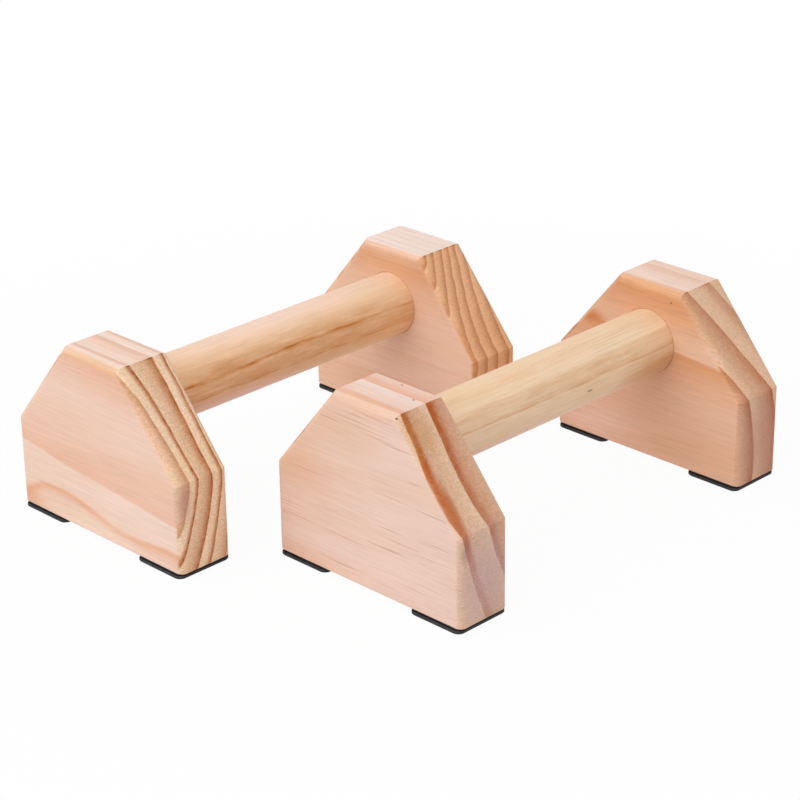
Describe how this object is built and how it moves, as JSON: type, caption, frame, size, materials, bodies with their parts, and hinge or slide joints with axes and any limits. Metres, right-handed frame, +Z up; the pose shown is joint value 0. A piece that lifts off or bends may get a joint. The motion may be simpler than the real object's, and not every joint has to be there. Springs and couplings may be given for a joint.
{
  "type": "parallette bars",
  "caption": "Low wooden parallette bars: thick six-sided end blocks joined by a round handle in blind sockets, on thin rubber pads, for push-ups and hand balancing.",
  "frame": {"origin": "on the floor, at the middle of the pair's outline as the bars stand in the picture", "axes": "+X along the handles from the near blocks to the far blocks, +Y across the bars from the right bar to the left bar, +Z up"},
  "size_m": [0.2992, 0.264, 0.101],
  "materials": {
    "block_pine": "planed pine, bare, fine sanded, growth rings and end grain showing",
    "handle_pine": "turned pine, bare, fine sanded, grain along the handle",
    "pad_rubber": "matt black rubber sheet",
    "pad_adhesive": "thin black adhesive foam",
    "socket_glue": "cured pale yellow wood glue"
  },
  "bodies": {
    "right_bar": {"right_handle": "handle_pine", "right_near_block": "block_pine", "right_near_socket_glue": "socket_glue", "right_near_inner_pad": "pad_rubber", "right_near_inner_pad_adhesive": "pad_adhesive", "right_near_outer_pad": "pad_rubber", "right_near_outer_pad_adhesive": "pad_adhesive", "right_far_block": "block_pine", "right_far_socket_glue": "socket_glue", "right_far_inner_pad": "pad_rubber", "right_far_inner_pad_adhesive": "pad_adhesive", "right_far_outer_pad": "pad_rubber", "right_far_outer_pad_adhesive": "pad_adhesive"},
    "left_bar": {"left_handle": "handle_pine", "left_near_block": "block_pine", "left_near_socket_glue": "socket_glue", "left_near_inner_pad": "pad_rubber", "left_near_inner_pad_adhesive": "pad_adhesive", "left_near_outer_pad": "pad_rubber", "left_near_outer_pad_adhesive": "pad_adhesive", "left_far_block": "block_pine", "left_far_socket_glue": "socket_glue", "left_far_inner_pad": "pad_rubber", "left_far_inner_pad_adhesive": "pad_adhesive", "left_far_outer_pad": "pad_rubber", "left_far_outer_pad_adhesive": "pad_adhesive"}
  },
  "joints": [
    {"name": "bar_spacing", "type": "slide", "parent": "right_bar", "child": "left_bar", "axis": [0, 1, 0], "range_m": [-0.01, 0.4]}
  ]
}
